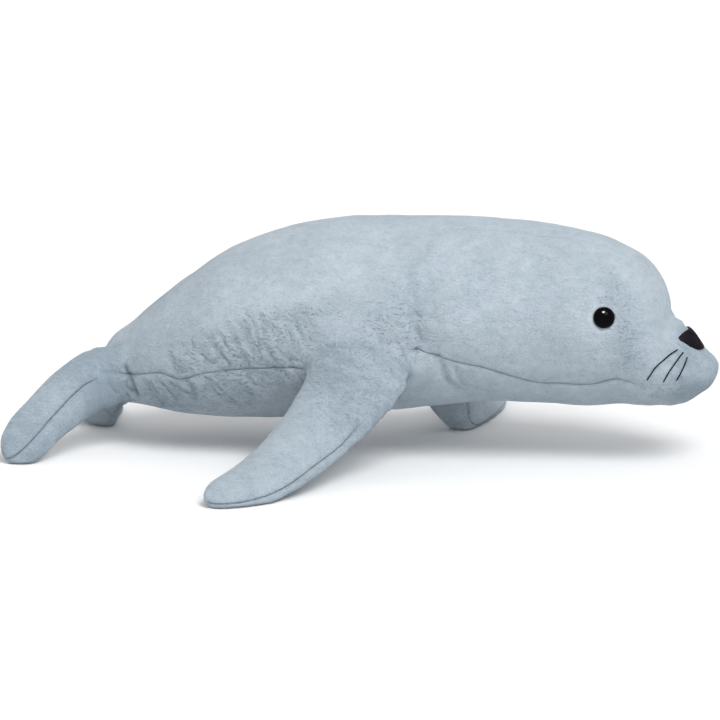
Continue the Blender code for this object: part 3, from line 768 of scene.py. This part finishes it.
# Materials
class Nodes:
    """Short calls for building a material's nodes."""

    def __init__(self, name):
        self.material = bpy.data.materials.new(name)
        self.material.use_nodes = True
        self.tree = self.material.node_tree
        self.shader = self.tree.nodes["Principled BSDF"]

    def add(self, kind, links=(), **settings):
        node = self.tree.nodes.new(kind)
        for key, value in settings.items():
            setattr(node, key, value)
        for socket, source in dict(links).items():
            self.put(node, socket, source)
        return node

    def put(self, node, socket, source):
        target = node.inputs[socket]
        if isinstance(source, bpy.types.NodeSocket):
            self.tree.links.new(source, target)
        elif isinstance(source, bpy.types.Node):
            self.tree.links.new(source.outputs[0], target)
        else:
            target.default_value = source

    def math(self, operation, *values, clamp=False):
        return self.add("ShaderNodeMath", enumerate(values), operation=operation, use_clamp=clamp).outputs[0]

    def attribute(self, name, output="Fac"):
        return self.add("ShaderNodeAttribute", attribute_name=name).outputs[output]

    def scaled(self, vector, scale):
        return self.add("ShaderNodeVectorMath", {0: vector, 1: scale}, operation="MULTIPLY").outputs[0]

    def noise(self, vector, scale, detail=2.0, roughness=0.5):
        return self.add("ShaderNodeTexNoise", {"Vector": vector, "Scale": scale, "Detail": detail,
                                               "Roughness": roughness}).outputs["Fac"]

    def ramp(self, value, *stops):
        node = self.add("ShaderNodeValToRGB", {"Fac": value})
        elements = node.color_ramp.elements
        while len(elements) < len(stops):
            elements.new(0.5)
        for element, (position, colour) in zip(elements, stops):
            element.position = position
            element.color = (*colour, 1.0) if isinstance(colour, tuple) else (colour, colour, colour, 1.0)
        return node.outputs["Color"]

    def set(self, **values):
        for key, value in values.items():
            self.put(self.shader, key.replace("_", " "), value)


def plush_material(name, dark, light):
    n = Nodes(name)
    where = n.scaled(n.add("ShaderNodeTexCoord").outputs["Object"], (1000, 1000, 1000))
    brushed = n.scaled(where, (0.75, 1.0, 1.25))
    pile = n.noise(brushed, 0.62, 3.0, 0.62)
    fine = n.noise(where, 1.5, 2.0, 0.6)
    clumps = n.noise(brushed, 0.15, 3.0, 0.6)
    patches = n.noise(where, 0.028, 2.0, 0.5)
    fleck_and_shade = n.math("MULTIPLY", n.math("SUBTRACT", 0.455, n.noise(brushed, 0.42, 2.0, 0.7)), 9.0, clamp=True)
    fleck_and_shade = n.math("MULTIPLY", fleck_and_shade, n.attribute("fleck_and_shade"))
    # each shade counts from its own middle, so that the whole keeps the mean colour
    value = n.math("MULTIPLY_ADD", pile, 0.60, 0.5 - 0.30)
    value = n.math("MULTIPLY_ADD", clumps, 0.60, n.math("SUBTRACT", value, 0.30))
    value = n.math("MULTIPLY_ADD", patches, 0.50, n.math("SUBTRACT", value, 0.25))
    # the skin's tones with their painted light and shade, flecks made denser as painted shade, and painted
    # shade in the creases
    value = n.math("MULTIPLY_ADD", n.attribute("tone_and_shade"), 2.0, value)
    value = n.math("MULTIPLY_ADD", fleck_and_shade, -0.42, value)
    value = n.math("MULTIPLY_ADD", n.attribute("crease_shade"), -0.45, value)
    colour = n.ramp(value, (0.0, dark), (1.0, light))
    lines = n.add("ShaderNodeSeparateXYZ", {"Vector": n.attribute("lines", "Vector")})
    holds = n.add("ShaderNodeSeparateXYZ", {"Vector": n.attribute("holds", "Vector")})
    width = n.math("MULTIPLY_ADD", n.noise(where, 0.35, 2.0), 1.5, -0.15)
    stitch = 0.0
    for output, strength in (("X", 0.65), ("Y", 0.80)):
        gap = n.math("ABSOLUTE", lines.outputs[output])
        line = n.math("SUBTRACT", 1.0, n.math("DIVIDE", gap, width), clamp=True)
        line = n.math("MULTIPLY", line, n.math("MULTIPLY", holds.outputs[output], strength))
        stitch = n.math("MAXIMUM", stitch, line)
    mix = n.add("ShaderNodeMix", data_type="RGBA")
    n.put(mix, "Factor", stitch)
    n.tree.links.new(colour, mix.inputs[6])
    mix.inputs[7].default_value = (dark[0] * 0.30, dark[1] * 0.32, dark[2] * 0.35, 1.0)
    n.set(Base_Color=mix.outputs[2], Roughness=0.9, Sheen_Weight=0.30, Sheen_Roughness=0.45)
    n.shader.inputs["Specular IOR Level"].default_value = 0.12
    n.shader.inputs["Sheen Tint"].default_value = (0.86, 0.93, 1.0, 1.0)
    height = n.math("MULTIPLY_ADD", pile, 0.8, n.math("MULTIPLY", fine, 0.5))
    height = n.math("MULTIPLY_ADD", clumps, 0.7, height)
    height = n.math("MULTIPLY_ADD", fleck_and_shade, -0.35, height)
    height = n.math("MULTIPLY_ADD", stitch, -0.9, height)
    bump = n.add("ShaderNodeBump", {"Height": height, "Strength": 0.9, "Distance": 0.0016})
    n.set(Normal=bump.outputs[0])
    return n.material


PLUSH = plush_material("plush_pile", (0.27, 0.34, 0.40), (0.60, 0.68, 0.75))


def put(piece, material, slot, *nodes, pad=None):
    """Gives a piece its material and its place in the frame."""
    piece.data.materials.clear()
    piece.data.materials.append(material)
    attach(piece, "root")
    if nodes:
        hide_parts(*nodes)


OWNED = share_out()
body = cut_piece("body", OWNED == 0, lambda spot: np.array((spot[0], 0.0, 0.09)))
put(body, PLUSH, "plush", "body", pad=0.8)
for number, name in enumerate(POSES, start=1):
    centre = POINTS[OWNER == number].mean(0)
    put(cut_piece(name, OWNED == number, lambda spot: centre), PLUSH, "plush", name, pad=0.6)


def gloss_material():
    n = Nodes("polished_black")
    where = n.scaled(n.add("ShaderNodeTexCoord").outputs["Object"], (1000, 1000, 1000))
    grime = n.noise(where, 0.35, 3.0)
    n.set(Base_Color=n.ramp(grime, (0.3, (0.0015, 0.0012, 0.0018)), (0.8, (0.004, 0.003, 0.005))))
    n.set(Roughness=n.math("MULTIPLY_ADD", grime, 0.05, 0.08))
    n.shader.inputs["Specular IOR Level"].default_value = 0.035
    return n.material


def thread_material(name, ridge):
    n = Nodes(name)
    nap = n.attribute("nap", "Vector")
    twist = n.noise(n.scaled(nap, (0.7, 5.0, 1.0)), 1.0, 2.0)
    worn = n.noise(n.scaled(nap, (0.5, 0.5, 1.0)), 1.0, 2.0)
    value = n.math("MULTIPLY_ADD", twist, 0.6, n.math("MULTIPLY", worn, 0.4))
    n.set(Base_Color=n.ramp(value, (0.25, (0.002, 0.001, 0.003)), (0.8, (0.010, 0.007, 0.016))))
    n.set(Roughness=n.math("MULTIPLY_ADD", worn, 0.2, 0.42), Sheen_Weight=0.01)
    n.shader.inputs["Specular IOR Level"].default_value = 0.04
    bump = n.add("ShaderNodeBump", {"Height": twist, "Strength": ridge, "Distance": 0.0003})
    n.set(Normal=bump.outputs[0])
    return n.material


def moulded_material():
    n = Nodes("moulded_white")
    where = n.scaled(n.add("ShaderNodeTexCoord").outputs["Object"], (1000, 1000, 1000))
    grain = n.noise(where, 1.5, 3.0)
    n.set(Base_Color=n.ramp(grain, (0.2, (0.70, 0.70, 0.67)), (0.8, (0.78, 0.78, 0.75))))
    n.set(Roughness=n.math("MULTIPLY_ADD", grain, 0.15, 0.38))
    return n.material


GLOSS = gloss_material()
THREAD = thread_material("stitched_thread", 0.8)


def basis(axis):
    return np.array(Vector((0, 0, 1)).rotation_difference(Vector(axis)).to_matrix())


def skin_point(run, angle, lift=0.0):
    """A point of the stuffed skin's plain form, lifted off it."""
    return smooth_point(run, angle) + smooth_normal(run, angle) * lift


# The eye: how deep it sits, its half width, the height of its dome and of the edge below, and its shank
EYE_SINK, EYE_HALF, EYE_DOME, EYE_EDGE = 0.0009, 0.00825, 0.0060, 0.0004
SHANK_HALF, SHANK_LENGTH, SHANK_TOP = 0.0025, 0.0125, -0.0006


def eye(side_name, side):
    surface, axis = place(*EYE_PLACE, side)
    seat = surface - axis * EYE_SINK
    turn = basis(axis)
    steps = np.linspace(0, np.pi / 2, 25)[:-1]
    profile = [(SHANK_HALF, -SHANK_LENGTH), (SHANK_HALF, SHANK_TOP), (0.0074, SHANK_TOP), (0.0081, 0.0)]
    profile += [(EYE_HALF * math.cos(s), EYE_EDGE + EYE_DOME * math.sin(s)) for s in steps]
    around = 2 * np.pi * np.arange(64) / 64
    rings = np.array([[(r * math.cos(a), r * math.sin(a), h) for a in around] for r, h in profile])
    points = seat + rings @ turn.T + ORIGIN
    top = seat + turn @ np.array((0, 0, EYE_EDGE + EYE_DOME)) + ORIGIN
    foot = seat + turn @ np.array((0, 0, -SHANK_LENGTH - 0.0002)) + ORIGIN
    piece = grid_mesh("domed_eye_" + side_name, points, foot, top, rings * 1000)
    put(piece, GLOSS, "eye_plastic", "eye_" + side_name)


# One row of the nose's stitches, in millimetres
STITCH_WIDTH = 0.75


def nose():
    """A low pad of stitching laid across the muzzle: its face, and a back sunk in the skin."""
    middle = float(run_at(LENGTH - NOSE_SETBACK))
    columns = 96
    half = body_curve(middle)
    ridge = half[4] * (1 - half[5])
    stretch = np.linalg.norm(smooth_point(middle + 0.001, 0.0) - smooth_point(middle - 0.001, 0.0)) / 0.002
    around = 2 * np.pi * np.arange(columns * 2) / (columns * 2)
    shares = np.sin(np.linspace(0, np.pi / 2, 40))[1:]

    def blunted(value):
        return np.sign(value) * np.abs(value) ** NOSE_ROUNDNESS

    def sheet(lift, inner):
        rings = []
        for share in (shares if inner else shares[::-1]):
            circle = np.stack((np.cos(around) * 5, np.sin(around) * 5, 0 * around), -1)
            edge = 1 + 0.035 * noise(circle, 41, 2)
            end_share = share * edge * blunted(np.sin(around))
            back = share * edge * NOSE_HALF * blunted(np.cos(around)) + NOSE_SWEEP * end_share ** 2
            run = middle - back / stretch
            angle = end_share * NOSE_REACH / ridge
            stitch = 0.00012 * np.sin(angle * ridge * 1000 * 2 * np.pi / STITCH_WIDTH)
            stitch = stitch + 0.00005 * noise(np.stack((angle * 900, run * 300, 0 * run), -1), 43, 2)
            rings.append(skin_point(run, angle, (lift(share) + stitch)[:, None]))
        return rings

    over = sheet(lambda share: 0.0004 + 0.0004 * (1 - share ** 4), True)
    under = sheet(lambda share: -0.0020, False)
    points = np.array(over + under) + ORIGIN
    top = skin_point(middle, 0.0, 0.0008) + ORIGIN
    foot = skin_point(middle, 0.0, -0.0020) + ORIGIN
    nap = np.stack((points[..., 0], points[..., 1], 0 * points[..., 0]), -1) * 1000
    put(grid_mesh("satin_nose", points, top, foot, nap), THREAD, "thread", "nose")


# Each whisker's line on the cheek, and the cheek's radius, which turns its degrees into metres
CHEEK = 0.045
WHISKER_HALF = 0.00055
WHISKERS = (((452, 58), (447, 68), (440, 89), (435, 106), (431, 117)),
            ((456, 59), (452, 75), (448, 89), (443, 107)),
            ((459, 63), (458, 76), (456, 89), (453, 101)))


def whisker(side_name, side, number, line):
    path = Curve([(x / 1000, math.radians(a) * CHEEK) for x, a in line])
    steps = np.linspace(0, path.length, 90)
    places = path(steps)
    run, angle = run_at(places[:, 0]), places[:, 1] / CHEEK * side
    normal = smooth_normal(run, angle)
    centre = smooth_point(run, angle) + normal * 0.0004
    ahead = np.gradient(centre, axis=0)
    ahead /= np.linalg.norm(ahead, axis=1, keepdims=True)
    across = np.cross(ahead, normal)
    stitch = 0.80 + 0.20 * np.abs(np.sin(steps * 1000 * np.pi / 3.2))
    stitch = stitch * np.clip(np.minimum(steps, path.length - steps) / 0.0012 + 0.25, 0.25, 1)
    around = 2 * np.pi * np.arange(14) / 14
    ring = across[:, None] * np.cos(around)[None, :, None] + normal[:, None] * np.sin(around)[None, :, None]
    points = centre[:, None] + ring * (WHISKER_HALF * stitch)[:, None, None] + ORIGIN
    nap = np.stack(np.broadcast_arrays(steps[:, None] * 1000, around[None] + steps[:, None] * 900, 0.0), -1)
    name = f"{side_name}_{number}"
    piece = grid_mesh("stitched_whisker_" + name, points, centre[0] + ORIGIN, centre[-1] + ORIGIN, nap)
    put(piece, THREAD, "thread", "whisker_" + name)


nose()
for side_name, side in (("right", -1), ("left", 1)):
    eye(side_name, side)
    for number, line in enumerate(WHISKERS, start=1):
        whisker(side_name, side, number, line)
washer = moulded_material()
for side_name in ("right", "left"):
    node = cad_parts["eye_washer_" + side_name]
    node.data.materials.clear()
    node.data.materials.append(washer)

# Floor, light and camera
floor_mesh = bpy.data.meshes.new("floor")
corners = ((-12, -12, 0), (12, -12, 0), (12, 12, 0), (-12, 12, 0))
floor_mesh.from_pydata(corners, [], [(0, 1, 2, 3)])
floor = bpy.data.objects.new("floor", floor_mesh)
bpy.context.scene.collection.objects.link(floor)
floor.location.z = -0.0002
n = Nodes("floor")
rays = n.add("ShaderNodeLightPath")
seen = n.math("MAXIMUM", rays.outputs["Is Glossy Ray"], rays.outputs["Is Transmission Ray"])
seen = n.math("MAXIMUM", rays.outputs["Is Camera Ray"], seen)
tint = n.add("ShaderNodeMix", data_type="RGBA")
n.put(tint, "Factor", seen)
tint.inputs[6].default_value = (0.74, 0.75, 0.76, 1)
tint.inputs[7].default_value = (1.0, 1.0, 1.0, 1)
n.set(Base_Color=tint.outputs[2], Roughness=1.0)
n.shader.inputs["Specular IOR Level"].default_value = 0.0
floor_mesh.materials.append(n.material)

world = bpy.data.worlds.new("studio")
bpy.context.scene.world = world
world.use_nodes = True
tree = world.node_tree
rays = tree.nodes.new("ShaderNodeLightPath")
back = tree.nodes["Background"]
back.inputs["Color"].default_value = (1, 1, 1, 1)
pick = tree.nodes.new("ShaderNodeMath")
pick.operation = "MAXIMUM"
tree.links.new(rays.outputs["Is Camera Ray"], pick.inputs[0])
tree.links.new(rays.outputs["Is Transmission Ray"], pick.inputs[1])
level = tree.nodes.new("ShaderNodeMapRange")
level.inputs["To Min"].default_value = 0.60
level.inputs["To Max"].default_value = 1.0
tree.links.new(pick.outputs[0], level.inputs["Value"])
tree.links.new(level.outputs["Result"], back.inputs["Strength"])


def toward(azimuth, elevation):
    """A direction by its angles: round from the right side to the head, and up."""
    flat = math.cos(elevation)
    return Vector((math.sin(azimuth) * flat, -math.cos(azimuth) * flat, math.sin(elevation)))


def sun(name, azimuth, elevation, strength, softness):
    lamp = bpy.data.lights.new(name, "SUN")
    lamp.energy = strength
    lamp.angle = math.radians(softness)
    made = bpy.data.objects.new(name, lamp)
    bpy.context.scene.collection.objects.link(made)
    direction = toward(math.radians(azimuth), math.radians(elevation))
    made.rotation_euler = direction.to_track_quat("Z", "Y").to_euler()
    return made


sun("key", 36, 47, 1.95, 30)
sun("fill", 10, 20, 0.35, 60)
# a small window, seen only as the bright spot on the eyes
sun("window", 0, 60, 28, 20).visible_diffuse = False

AZIMUTH, ELEVATION, DISTANCE, SPAN = math.radians(10), math.radians(12), 12.0, 0.5510
target = Vector((-0.0083, 0.0071, 0.070))
back_way = toward(AZIMUTH, ELEVATION)
lens = bpy.data.cameras.new("camera")
lens.sensor_width = 36
lens.lens = 36 * DISTANCE / SPAN
lens.clip_end = 60
camera = bpy.data.objects.new("camera", lens)
bpy.context.scene.collection.objects.link(camera)
camera.location = target + back_way * DISTANCE
camera.rotation_euler = back_way.to_track_quat("Z", "Y").to_euler()
bpy.context.scene.camera = camera

bpy.context.scene.view_settings.view_transform = "Standard"
